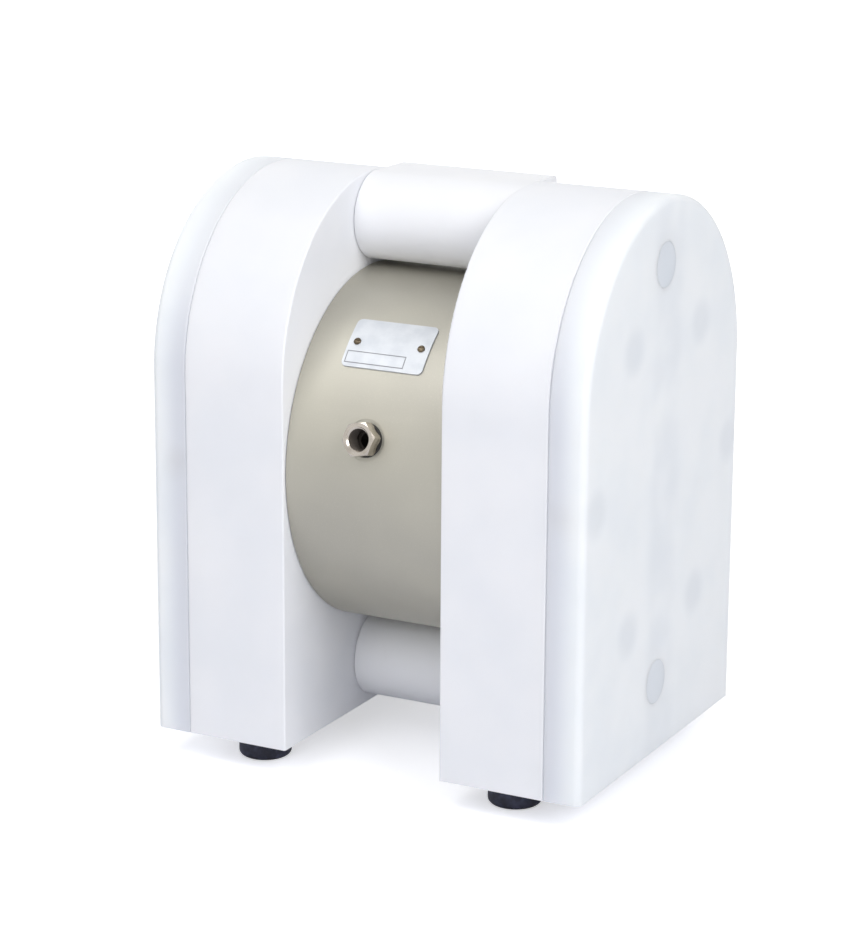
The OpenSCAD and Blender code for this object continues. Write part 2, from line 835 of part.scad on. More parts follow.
module tie_rods() {
    r = rod_d / 2;
    length = 2 * rod_half;
    color([0.72, 0.73, 0.75]) at_rods(-rod_half) rotate_extrude() polygon([[0, 0],
        [r - rod_tip, 0], [r, rod_tip], [r, length - rod_tip], [r - rod_tip, length],
        [0, length]]);
}

module tie_rod_washers() {
    color([0.78, 0.78, 0.80]) both() at_rods(cover_x) difference() {
        cylinder(h = washer_t, r = rod_d);
        translate([0, 0, -1]) cylinder(h = washer_t + 2, r = rod_d / 2 + rod_play);
    }
}

module tie_rod_nuts() {
    color([0.74, 0.75, 0.77]) both() at_rods(cover_x + washer_t) difference() {
        hexagon(nut_flats, nut_h);
        translate([0, 0, -1]) cylinder(h = nut_h + 2, r = rod_d / 2 + fit_gap);
    }
}

// Rubber feet with rounded lower edges, open in the middle for a bolt from below
module rubber_feet() {
    color([0.08, 0.08, 0.08]) at_feet(0) rotate_extrude() difference() {
        union() {
            square([foot_d / 2 - foot_round, foot_height]);
            translate([0, foot_round]) square([foot_d / 2, foot_height - foot_round]);
            translate([foot_d / 2 - foot_round, foot_round]) circle(foot_round);
        }
        translate([-1, -1]) square([insert_r + fit_gap + 1, foot_height + 2]);
    }
}

// Threaded inserts that pin the feet to the housings and take the bolts of a base
module foot_inserts() {
    color([0.70, 0.71, 0.73]) at_feet(insert_recess) difference() {
        cylinder(h = insert_height - insert_recess - 1, r = insert_r);
        translate([0, 0, -1]) cylinder(h = insert_thread_depth + 1, r = insert_thread_r);
    }
}

left_housing();
right_housing();
left_cover();
right_cover();
cover_screws();
centre_block();
discharge_manifold();
suction_manifold();
manifold_seals();
left_suction_seat();
left_discharge_seat();
right_suction_seat();
right_discharge_seat();
left_suction_ball();
left_discharge_ball();
right_suction_ball();
right_discharge_ball();
left_suction_cage();
left_discharge_cage();
right_suction_cage();
right_discharge_cage();
left_column_plug();
right_column_plug();
column_plug_seals();
left_diaphragm();
right_diaphragm();
left_air_plate();
right_air_plate();
left_liquid_plate();
right_liquid_plate();
diaphragm_shaft();
shaft_bushes();
shaft_seals();
air_valve_sleeve();
air_valve_spool();
air_valve_seals();
air_valve_caps();
air_valve_circlips();
air_inlet_fitting();
air_inlet_washer();
exhaust_silencer();
rating_plate();
plate_screws();
tie_rods();
tie_rod_washers();
tie_rod_nuts();
rubber_feet();
foot_inserts();
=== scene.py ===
"""Looks of an air operated double diaphragm pump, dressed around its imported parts."""

import logging
import math
from dataclasses import dataclass, field
from enum import Enum

import bpy
from mathutils import Matrix, Vector


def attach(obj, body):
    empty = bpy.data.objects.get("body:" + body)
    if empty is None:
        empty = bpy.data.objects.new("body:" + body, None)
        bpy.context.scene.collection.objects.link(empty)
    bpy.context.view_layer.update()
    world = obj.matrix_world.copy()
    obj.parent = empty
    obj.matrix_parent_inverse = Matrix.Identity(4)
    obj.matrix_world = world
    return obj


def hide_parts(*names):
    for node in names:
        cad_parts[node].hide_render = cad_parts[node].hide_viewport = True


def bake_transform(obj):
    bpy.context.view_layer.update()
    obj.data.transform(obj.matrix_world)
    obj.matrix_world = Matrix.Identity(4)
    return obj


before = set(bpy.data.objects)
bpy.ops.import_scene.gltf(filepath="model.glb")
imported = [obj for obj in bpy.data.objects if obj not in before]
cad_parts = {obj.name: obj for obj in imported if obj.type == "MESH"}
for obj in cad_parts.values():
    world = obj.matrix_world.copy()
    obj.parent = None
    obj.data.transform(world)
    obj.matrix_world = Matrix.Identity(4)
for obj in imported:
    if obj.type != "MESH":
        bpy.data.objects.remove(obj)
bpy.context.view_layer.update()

LOG = logging.getLogger("diaphragm_pump")

# Places that several assemblies share, in metres
PUMP_AXIS_Z = 0.168
COVER_JOINT_X = 0.1065
COVER_FACE_X = 0.1275

# The pump's two sides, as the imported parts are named
SIDES = ("left", "right")

# Angle of the air inlet above the horizontal, in degrees
INLET_ANGLE = 14.9

# Angle between two faces, in degrees, above which their edge is shaded sharp
SHARP_EDGE = 32

Colour = tuple[float, float, float]
Place = tuple[float, float, float]


def tint(red: int, green: int, blue: int) -> Colour:
    """Turns a display colour into the linear one that shaders use.

    Args:
        red: Red, from 0 to 255.
        green: Green, from 0 to 255.
        blue: Blue, from 0 to 255.

    Returns:
        The linear colour, each channel from 0 to 1.
    """
    def channel(value: int) -> float:
        share = value / 255
        return share / 12.92 if share <= 0.04045 else ((share + 0.055) / 1.055) ** 2.4

    return channel(red), channel(green), channel(blue)


class Direction(Enum):
    """Direction that a noise is drawn out in, as the factors on its X, Y and Z."""

    ALONG_X = (0.06, 1.0, 1.0)
    ROUND_X = (1.0, 0.08, 0.08)
    EVERY_WAY = (1.0, 1.0, 1.0)


class Value:
    """A number that varies over a surface; an expression on it adds Math nodes."""

    def __init__(self, recipe: "Recipe", socket: bpy.types.NodeSocket) -> None:
        """Wraps one output socket of a recipe."""
        self.recipe = recipe
        self.socket = socket

    def math(self, operation: str, *others: "Value | float", swap: bool = False) -> "Value":
        """Applies a Math node.

        Args:
            operation: The Math node's operation.
            others: The other operands.
            swap: Whether the first other operand comes before this value.

        Returns:
            The node's result.
        """
        operands = [others[0], self] if swap else [self, *others]
        node = self.recipe.node("ShaderNodeMath", {"operation": operation},
                                dict(enumerate(operands)))
        return Value(self.recipe, node.outputs[0])

    def __add__(self, other: "Value | float") -> "Value":
        """This value plus the other."""
        return self.math("ADD", other)

    def __sub__(self, other: "Value | float") -> "Value":
        """This value less the other."""
        return self.math("SUBTRACT", other)

    def __rsub__(self, other: float) -> "Value":
        """The other less this value."""
        return self.math("SUBTRACT", other, swap=True)

    def __mul__(self, other: "Value | float") -> "Value":
        """This value times the other."""
        return self.math("MULTIPLY", other)

    def __truediv__(self, other: "Value | float") -> "Value":
        """This value divided by the other."""
        return self.math("DIVIDE", other)

    def __abs__(self) -> "Value":
        """This value without its sign."""
        return self.math("ABSOLUTE")

    def rise(self, start: float, end: float) -> "Value":
        """Smooth step between two values.

        Args:
            start: Value where the step is 0, which may be the greater one.
            end: Value where the step is 1.

        Returns:
            The step, from 0 to 1.
        """
        node = self.recipe.node("ShaderNodeMapRange", {"interpolation_type": "SMOOTHSTEP"},
                                {"Value": self, "From Min": start, "From Max": end})
        return Value(self.recipe, node.outputs["Result"])

    def band(self, half: float, soft: float) -> "Value":
        """1 within half of zero on both sides, falling smoothly to 0 over soft."""
        return abs(self).rise(half + soft, half)

    def hypot(self, other: "Value") -> "Value":
        """Length of the two values taken as the sides of a right angle."""
        return (self * self + other * other).math("SQRT")

    def about(self, middle: float, spread: float) -> "Value":
        """Turns this cloud from 0 to 1 into one of the given spread about a middle."""
        return self * spread + (middle - spread / 2)


class Recipe:
    """One material's nodes, from coordinates to the shader."""

    def __init__(self, name: str) -> None:
        """Starts an empty material with a shader and an output."""
        self.material = bpy.data.materials.new(name)
        self.material.use_nodes = True
        self.tree = self.material.node_tree
        self.tree.nodes.clear()
        output = self.tree.nodes.new("ShaderNodeOutputMaterial")
        self.shader = self.tree.nodes.new("ShaderNodeBsdfPrincipled")
        self.tree.links.new(self.shader.outputs[0], output.inputs["Surface"])
        self.place = self.node("ShaderNodeTexCoord", {}, {}).outputs["Object"]

    def plug(self, node: bpy.types.Node, inputs: dict) -> None:
        """Links or sets a node's sockets.

        Args:
            node: The node.
            inputs: Socket names or numbers, with a value, socket or constant for each.
        """
        for key, content in inputs.items():
            target = node.inputs[key]
            if isinstance(content, Value):
                content = content.socket
            if isinstance(content, bpy.types.NodeSocket):
                self.tree.links.new(content, target)
            elif isinstance(content, tuple) and target.type == "RGBA":
                target.default_value = (*content, 1.0)
            else:
                target.default_value = content

    def node(self, kind: str, settings: dict, inputs: dict) -> bpy.types.Node:
        """Adds a node.

        Args:
            kind: The node's type.
            settings: Its properties.
            inputs: What its sockets hold, as plug takes them.

        Returns:
            The new node.
        """
        node = self.tree.nodes.new(kind)
        for key, content in settings.items():
            setattr(node, key, content)
        self.plug(node, inputs)
        return node

    def axes(self) -> tuple[Value, Value, Value]:
        """The place on the pump along X, Y and Z, in metres."""
        node = self.node("ShaderNodeSeparateXYZ", {}, {0: self.place})
        return tuple(Value(self, socket) for socket in node.outputs)

    def noise(self, size: float, detail: float = 2.0,
              direction: Direction = Direction.EVERY_WAY) -> Value:
        """Random cloud from 0 to 1.

        Args:
            size: Size of its largest blots, in metres.
            detail: How many finer layers it has.
            direction: Direction that the blots are drawn out in.

        Returns:
            The cloud's value.
        """
        stretched = self.node("ShaderNodeVectorMath", {"operation": "MULTIPLY"},
                              {0: self.place, 1: direction.value})
        node = self.node("ShaderNodeTexNoise", {}, {
            "Vector": stretched.outputs[0], "Scale": 1 / size, "Detail": detail})
        return Value(self, node.outputs[0])

    def cells(self, size: float) -> Value:
        """Distance to the nearest of many grains, from 0 to about 1."""
        node = self.node("ShaderNodeTexVoronoi", {}, {"Vector": self.place, "Scale": 1 / size})
        return Value(self, node.outputs["Distance"])

    def blend(self, share: "Value | float", first: object, second: object) -> bpy.types.NodeSocket:
        """Mixes two colours.

        Args:
            share: Share of the second colour.
            first: Colour or socket where the share is 0.
            second: Colour or socket where the share is 1.

        Returns:
            The mixed colour's socket.
        """
        node = self.node("ShaderNodeMix", {"data_type": "RGBA", "clamp_factor": True},
                         {0: share, 6: first, 7: second})
        return node.outputs[2]

    def bump(self, height: Value, depth: float, over: object = None) -> bpy.types.NodeSocket:
        """Relief.

        Args:
            height: Height of the surface, from 0 to 1.
            depth: Height in metres that 1 stands for.
            over: Another relief that this one lies on.

        Returns:
            The bent normal's socket.
        """
        inputs = {"Strength": 1.0, "Distance": depth, "Height": height}
        if over is not None:
            inputs["Normal"] = over
        return self.node("ShaderNodeBump", {}, inputs).outputs[0]

    def finish(self, inputs: dict) -> bpy.types.Material:
        """Sets the shader's sockets.

        Args:
            inputs: What its sockets hold, as plug takes them.

        Returns:
            The finished material.
        """
        self.plug(self.shader, inputs)
        return self.material


@dataclass(frozen=True)
class Finish:
    """A surface finish: a colour with slight clouds, and a fine grain.

    Attributes:
        name: Name of the material.
        colour: Linear colour.
        shade: Linear colour of the clouds' other end.
        roughness: Roughness in the middle of its range.
    """

    name: str
    colour: Colour
    shade: Colour
    roughness: float

    def material(self) -> bpy.types.Material:
        """Makes the material."""
        raise NotImplementedError


@dataclass(frozen=True)
class MachinedPlastic(Finish):
    """Solid plastic cut from a block, with a cutter's faint sweeps on it.

    Attributes:
        pitch: Distance between the cutter's sweeps, in metres.
        depth: Depth of the sweeps, in metres.
        wander: How far the sweeps stray from true circles, in metres.
        ahead: Distance of the sweeps' centre in front of the pump's middle, in metres.
        below: Depth of the sweeps' centre under the floor, in metres.
        grain: Size of the surface's fine grain, in metres.
        cloud: Size of the clouds in the colour, in metres.
        gloss: Strength of the mirror-like share of the light; 0.5 is usual.
        glow: Share of light that goes under the surface.
        glow_depth: How deep that light goes, in metres.
    """

    pitch: float = 0.0009
    depth: float = 0.000004
    wander: float = 0.004
    ahead: float = 0.31
    below: float = 0.12
    grain: float = 0.0006
    cloud: float = 0.05
    gloss: float = 0.12
    glow: float = 0.15
    glow_depth: float = 0.01

    def body_colour(self, recipe: Recipe) -> object:
        """Clouded colour of the plastic."""
        clouds = recipe.noise(self.cloud).rise(start=0.3, end=0.75)
        return recipe.blend(clouds, self.colour, self.shade)

    def relief(self, recipe: Recipe) -> object:
        """Bent normal of the cutter's sweeps with the fine grain on them."""
        _, y, z = recipe.axes()
        stray = recipe.noise(size=0.06, detail=1.0) * self.wander
        sweep = (y + self.ahead).hypot(z + self.below) + stray
        marks = (sweep * (math.tau / self.pitch)).math("SINE") * 0.5 + 0.5
        grain_depth = 3 * self.depth
        return recipe.bump(recipe.noise(self.grain), grain_depth, recipe.bump(marks, self.depth))

    def material(self) -> bpy.types.Material:
        """Makes the material."""
        recipe = Recipe(self.name)
        patches = recipe.noise(size=0.02, detail=3.0)
        return recipe.finish({
            "Base Color": self.body_colour(recipe), "Normal": self.relief(recipe),
            "Roughness": patches.about(self.roughness, spread=0.10),
            "Subsurface Weight": self.glow, "Subsurface Scale": self.glow_depth,
            "Subsurface Radius": (0.9, 0.95, 1.0), "Specular IOR Level": self.gloss})


@dataclass(frozen=True)
class MilkyPlastic(MachinedPlastic):
    """Natural plastic that lets some light in, with painted shade by its seam and painted shadows
    of hidden parts under its face.

    Attributes:
        joint_shade: Linear colour of the painted shade beside the cover's seam with the housing.
        joint_edge: Width that the painted seam shade keeps off the cover's ends, in metres.
        arch: Heights between which the painted seam shade fades to half, in metres.
        shadow: Linear colour of the painted shadows where hidden parts stand under the cover.
        reach: How far the shadows reach back from the cover's face, in metres.
        nut_step: Angle from one hidden nut to the next, in degrees.
        nut_circle: Radius of the circle that the hidden nuts stand on, in metres.
        nut_core: Radius where a nut's shadow is full, in metres.
        nut_edge: Radius where a nut's shadow ends, in metres.
        nut_tone: Strength of the nuts' shadows.
        column_core: Half the width where the valve column's shadow is full, in metres.
        column_soft: Width over which the column's shadow fades, in metres.
        column_tone: Strength of the column's shadow.
    """

    joint_shade: Colour = (1.0, 1.0, 1.0)
    joint_edge: float = 0.003
    arch: tuple[float, float] = (0.22, 0.29)
    shadow: Colour = (0.8, 0.8, 0.8)
    reach: float = 0.006
    nut_step: float = 60.0
    nut_circle: float = 0.087
    nut_core: float = 0.005
    nut_edge: float = 0.017
    nut_tone: float = 0.33
    column_core: float = 0.010
    column_soft: float = 0.014
    column_tone: float = 0.20

    def nuts(self, y: Value, up: Value) -> Value:
        """Draws the ring of painted shadows where the hidden nuts are.

        Args:
            y: The place along Y, in metres.
            up: The height above the pump axis, in metres.

        Returns:
            1 on a nut and 0 away from all of them.
        """
        step = math.radians(self.nut_step)
        turn = ((y.math("ARCTAN2", up) / step).math("FLOORED_MODULO", 1.0) - 0.5) * step
        radius = y.hypot(up)
        across = radius * turn.math("SINE")
        outward = radius * turn.math("COSINE") - self.nut_circle
        return across.hypot(outward).rise(self.nut_edge, self.nut_core)

    def body_colour(self, recipe: Recipe) -> object:
        """Colours the cover, with painted shade by its seam and painted shadows of the hidden nuts
        and column.

        Args:
            recipe: The material's nodes.

        Returns:
            The colour's socket.
        """
        x, y, z = recipe.axes()
        clouds = recipe.noise(self.cloud)
        plain = recipe.blend(clouds.rise(start=0.3, end=0.75), self.colour, self.shade)
        # Painted shadows of the hidden valve column and nuts, as if seen through the cover.
        column = y.band(self.column_core, self.column_soft) * clouds.rise(start=0.25, end=0.6)
        painted_shadows = self.nuts(y, z - PUMP_AXIS_Z) * self.nut_tone + column * self.column_tone
        on_face = abs(x).rise(COVER_FACE_X - self.reach, COVER_FACE_X)
        shaded = recipe.blend(painted_shadows * on_face, plain, self.shadow)
        # Painted shade beside the cover's seam with the housing, halved over the round top.
        joint_shade_share = abs(x).rise(COVER_FACE_X - self.joint_edge, COVER_JOINT_X + self.joint_edge)
        below_arch = 1 - z.rise(*self.arch) * 0.5
        return recipe.blend(joint_shade_share * below_arch, shaded, self.joint_shade)


@dataclass(frozen=True)
class SatinPaint(Finish):
    """Sprayed satin paint with a fine flake and a soft ripple.

    Attributes:
        cloud: Size of the clouds in the colour, in metres.
        speck: Size of the flakes, in metres.
        glint: How many times brighter a flake is than the paint.
        glint_share: Share of a flake's colour that shows.
        ripple: Size of the ripple, in metres.
        depth: Height of the ripple, in metres.
        flake: Share of the surface's sheen that is metallic.
        lacquer: Weight of the clear coat.
        lacquer_roughness: Roughness of the clear coat.
    """

    cloud: float = 0.07
    speck: float = 0.0005
    glint: float = 1.25
    glint_share: float = 0.25
    ripple: float = 0.0016
    depth: float = 0.00002
    flake: float = 0.7
    lacquer: float = 0.12
    lacquer_roughness: float = 0.35

    def material(self) -> bpy.types.Material:
        """Makes the material."""
        recipe = Recipe(self.name)
        clouds = recipe.noise(self.cloud).rise(start=0.3, end=0.7)
        specks = recipe.noise(self.speck, detail=1.0).rise(start=0.55, end=0.8)
        patches = recipe.noise(size=0.03, detail=3.0)
        bright = tuple(min(1.0, channel * self.glint) for channel in self.colour)
        base = recipe.blend(clouds, self.colour, self.shade)
        return recipe.finish({
            "Base Color": recipe.blend(specks * self.glint_share, base, bright),
            "Roughness": patches.about(self.roughness, spread=0.10),
            "Normal": recipe.bump(recipe.noise(self.ripple), self.depth),
            "Metallic": self.flake, "Coat Weight": self.lacquer,
            "Coat Roughness": self.lacquer_roughness})


@dataclass(frozen=True)
class Metal(Finish):
    """Turned, drawn or plated metal with fine scratches.

    Attributes:
        direction: Direction of the scratches.
        scratch: Width of the scratches, in metres.
        depth: Depth of the scratches, in metres.
        blot: Size of the dull blots, in metres.
        line_share: Share of the colour's change that follows the scratches.
        line_spread: How much the roughness varies with the scratches.
        blot_spread: How much the roughness varies with the blots.
    """

    direction: Direction = Direction.EVERY_WAY
    scratch: float = 0.0004
    depth: float = 0.00001
    blot: float = 0.008
    line_share: float = 0.4
    line_spread: float = 0.12
    blot_spread: float = 0.10

    def surface(self, recipe: Recipe) -> tuple[object, Value, object]:
        """Works out the bare metal's looks.

        Args:
            recipe: The material's nodes.

        Returns:
            Its colour, roughness and relief.
        """
        lines = recipe.noise(self.scratch, detail=3.0, direction=self.direction)
        blots = recipe.noise(self.blot, detail=3.0)
        tone = blots.rise(start=0.35, end=0.75) * (1 - self.line_share) + lines * self.line_share
        lowest = self.roughness - (self.line_spread + self.blot_spread) / 2
        rough = lines * self.line_spread + blots * self.blot_spread + lowest
        base = recipe.blend(tone, self.colour, self.shade)
        return base, rough, recipe.bump(lines, self.depth)

    def material(self) -> bpy.types.Material:
        """Makes the material."""
        recipe = Recipe(self.name)
        base, rough, relief = self.surface(recipe)
        return recipe.finish({"Base Color": base, "Roughness": rough, "Normal": relief,
                              "Metallic": 1.0})


@dataclass(frozen=True)
class PlatedInlet(Metal):
    """Plated metal of the air inlet, dull inside its threaded hole, where thread sealant and
    painted shade darken it.

    Attributes:
        sealant_and_shade: Linear colour inside the hole, thread sealant darkened further by
            painted shade.
        hole: Radius that the darkening reaches, in metres.
        hole_soft: Width over which the darkening ends at that radius, in metres.
        start: Distance from the pump axis to where the darkening starts, in metres.
        start_soft: Depth over which the darkening starts, in metres.
        cover: Share of the metal's colour that the darkening hides.
        matt: How much rougher the sealant is than the metal.
        dull: Share of the metal's sheen that the sealant takes.
    """

    sealant_and_shade: Colour = (0.05, 0.04, 0.03)
    hole: float = 0.0067
    hole_soft: float = 0.0002
    start: float = 0.1063
    start_soft: float = 0.0006
    cover: float = 0.9
    matt: float = 0.25
    dull: float = 0.5

    def material(self) -> bpy.types.Material:
        """Makes the material."""
        recipe = Recipe(self.name)
        x, y, z = recipe.axes()
        height = z - PUMP_AXIS_Z
        slope = math.radians(INLET_ANGLE)
        up = y * math.sin(slope) + height * math.cos(slope)
        outward = height * math.sin(slope) - y * math.cos(slope)
        # Mask of the hole's inside, darkened by thread sealant and painted shade.
        inside = (x.hypot(up).rise(self.hole + self.hole_soft, self.hole)
                  * outward.rise(self.start, self.start - self.start_soft))
        base, rough, relief = self.surface(recipe)
        return recipe.finish({
            "Base Color": recipe.blend(inside * self.cover, base, self.sealant_and_shade),
            "Roughness": rough + inside * self.matt, "Normal": relief,
            "Metallic": 1 - inside * self.dull})


@dataclass(frozen=True)
class PrintedPlate(Metal):
    """Brushed plate, bare but for the outline of an empty field.

    Attributes:
        ink: Linear colour of the outline.
        ink_share: Share of the metal's colour that the ink hides.
        ink_matt: How much rougher the ink is than the metal.
        metallic: Share of the bare plate's sheen that is metallic.
        angle: Angle of the plate's middle above the horizontal, in degrees.
        box: Left, right, lower and upper edge of the field, in metres.
        line: Width of the outline, in metres.
        line_soft: Width over which the outline fades, in metres.
    """

    ink: Colour = (0.2, 0.2, 0.22)
    ink_share: float = 0.85
    ink_matt: float = 0.2
    metallic: float = 0.6
    angle: float = 45.4
    box: tuple[float, float, float, float] = (-0.0221, 0.0121, -0.0125, -0.0059)
    line: float = 0.00045
    line_soft: float = 0.0001

    def outline(self, recipe: Recipe) -> Value:
        """Draws the outline of the empty field.

        Args:
            recipe: The material's nodes.

        Returns:
            1 on the outline and 0 away from it.
        """
        x, y, z = recipe.axes()
        slope = math.radians(self.angle)
        up = y * math.sin(slope) + (z - PUMP_AXIS_Z) * math.cos(slope)
        left, right, low, high = self.box
        off_x = abs(x - (left + right) / 2) - (right - left) / 2
        off_up = abs(up - (low + high) / 2) - (high - low) / 2
        return off_x.math("MAXIMUM", off_up).band(self.line / 2, self.line_soft)

    def material(self) -> bpy.types.Material:
        """Makes the material."""
        recipe = Recipe(self.name)
        outline = self.outline(recipe)
        base, rough, relief = self.surface(recipe)
        return recipe.finish({
            "Base Color": recipe.blend(outline * self.ink_share, base, self.ink),
            "Roughness": rough + outline * self.ink_matt, "Normal": relief,
            "Metallic": self.metallic - outline * self.metallic})


@dataclass(frozen=True)
class MouldedRubber(Finish):
    """Moulded rubber with a fine pebble and a dusty bloom.

    Attributes:
        pebble: Size of the pebble, in metres.
        depth: Height of the pebble, in metres.
        bloom: Size of the dusty blots, in metres.
        gloss: Strength of the mirror-like share of the light; 0.5 is usual.
    """

    pebble: float = 0.0007
    depth: float = 0.00005
    bloom: float = 0.006
    gloss: float = 0.35

    def material(self) -> bpy.types.Material:
        """Makes the material."""
        recipe = Recipe(self.name)
        dust = recipe.noise(self.bloom, detail=4.0)
        return recipe.finish({
            "Base Color": recipe.blend(dust.rise(start=0.4, end=0.8), self.colour, self.shade),
            "Roughness": dust.about(self.roughness, spread=0.2),
            "Normal": recipe.bump(recipe.cells(self.pebble), self.depth),
            "Specular IOR Level": self.gloss})


@dataclass(frozen=True)
class SinteredPlastic(Finish):
    """Porous plastic pressed from fused grains.

    Attributes:
        grain: Size of the grains, in metres.
        depth: Height of the grains, in metres.
        patch: Size of the patches in its colour, in metres.
        patch_share: Share of the colour's change that follows the patches.
    """

    grain: float = 0.0011
    depth: float = 0.00025
    patch: float = 0.01
    patch_share: float = 0.3

    def material(self) -> bpy.types.Material:
        """Makes the material."""
        recipe = Recipe(self.name)
        cells = recipe.cells(self.grain)
        patches = recipe.noise(self.patch, detail=3.0)
        gaps = cells.rise(start=0.2, end=0.75)
        tone = gaps * (1 - self.patch_share) + patches * self.patch_share
        return recipe.finish({
            "Base Color": recipe.blend(tone, self.colour, self.shade),
            "Roughness": patches.about(self.roughness, spread=0.2),
            "Normal": recipe.bump(1 - cells, self.depth)})


WHITE_PLASTIC = MachinedPlastic("white_plastic", tint(241, 242, 246), tint(236, 238, 243), 0.50)
TUBE_PLASTIC = MachinedPlastic("tube_plastic", tint(243, 244, 247), tint(240, 241, 245), 0.45)
# The cover's colour carries painted shade beside its seam and painted shadows of hidden parts.
MILKY_PLASTIC = MilkyPlastic(
    "natural_plastic", tint(244, 247, 250), tint(238, 242, 246), 0.42, cloud=0.045, glow=0.35,
    joint_shade=tint(221, 224, 232), shadow=tint(213, 218, 224))
DISC_PLASTIC = MachinedPlastic("disc_plastic", tint(225, 230, 236), tint(217, 223, 230), 0.45)
VALVE_PLASTIC = MachinedPlastic("valve_plastic", tint(236, 236, 230), tint(228, 228, 221), 0.4)
BALL_PLASTIC = MachinedPlastic(
    "ball_plastic", tint(246, 246, 240), tint(240, 240, 233), 0.25, depth=0.000001)
CHAMPAGNE_PAINT = SatinPaint("beige_paint", tint(182, 179, 167), tint(173, 170, 160), 0.48)
# Inside the inlet's threaded hole the plate carries thread sealant darkened further by painted
# shade.
NICKEL = PlatedInlet("nickel_plate", tint(200, 193, 184), tint(160, 152, 141), 0.22,
                     sealant_and_shade=tint(52, 43, 36))
BRASS = Metal("brass", tint(214, 178, 104), tint(178, 140, 76), 0.33, Direction.ROUND_X)
STEEL = Metal("steel", tint(196, 198, 201), tint(168, 170, 174), 0.30, Direction.ROUND_X)
ALUMINIUM = Metal("plain_aluminium", tint(205, 207, 210), tint(184, 186, 190), 0.38)
BRONZE = Metal("screw_bronze", tint(120, 108, 90), tint(72, 64, 54), 0.36)
BRUSHED_PLATE = PrintedPlate(
    "plate_metal", tint(205, 208, 212), tint(190, 194, 200), 0.50, Direction.ALONG_X)
FOOT_RUBBER = MouldedRubber("foot_rubber", tint(33, 34, 47), tint(66, 68, 88), 0.55)
SEAL_RUBBER = MouldedRubber("seal_rubber", tint(26, 26, 27), tint(44, 44, 46), 0.5,
                            pebble=0.0003, depth=0.00001)
MEMBRANE_RUBBER = MouldedRubber("diaphragm_rubber", tint(44, 44, 47), tint(62, 62, 66), 0.6)
SINTERED = SinteredPlastic("silencer_plastic", tint(96, 99, 104), tint(60, 62, 66), 0.75)


def dress(node: str, material: bpy.types.Material) -> None:
    """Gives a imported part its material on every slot.

    Args:
        node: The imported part.
        material: The material.
    """
    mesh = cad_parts[node].data
    for index in range(max(1, len(mesh.materials))):
        if index < len(mesh.materials):
            mesh.materials[index] = material
        else:
            mesh.materials.append(material)
    LOG.info("dressed %s in %s", node, material.name)


class Bench:
    """Modelling steps that start from nothing selected."""

    @staticmethod
    def clear() -> None:
        """Leaves object mode with nothing selected."""
        if bpy.context.object and bpy.context.object.mode != "OBJECT":
            bpy.ops.object.mode_set(mode="OBJECT")
        bpy.ops.object.select_all(action="DESELECT")

    @staticmethod
    def pick(piece: bpy.types.Object) -> None:
        """Selects one piece and makes it active."""
        Bench.clear()
        piece.select_set(True)
        bpy.context.view_layer.objects.active = piece

    @staticmethod
    def apply_modifiers(piece: bpy.types.Object) -> None:
        """Applies the piece's modifiers in order."""
        Bench.pick(piece)
        for name in [modifier.name for modifier in piece.modifiers]:
            bpy.ops.object.modifier_apply(modifier=name)

    @staticmethod
    def settle(piece: bpy.types.Object) -> None:
        """Moves the piece's place into its mesh, so its object is at the origin."""
        Bench.pick(piece)
        bpy.ops.object.transform_apply(location=True, rotation=True, scale=True)

    @staticmethod
    def copy_part(node: str, name: str) -> bpy.types.Object:
        """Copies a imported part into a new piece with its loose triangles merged.

        Args:
            node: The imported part.
            name: Name of the copy.

        Returns:
            The copy, with its own mesh.
        """
        piece = bpy.data.objects.new(name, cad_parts[node].data.copy())
        piece.data.name = name
        bpy.context.scene.collection.objects.link(piece)
        Bench.pick(piece)
        bpy.ops.mesh.customdata_custom_splitnormals_clear()
        bpy.ops.object.mode_set(mode="EDIT")
        bpy.ops.mesh.select_all(action="SELECT")
        bpy.ops.mesh.remove_doubles(threshold=1e-6)
        bpy.ops.object.mode_set(mode="OBJECT")
        return piece


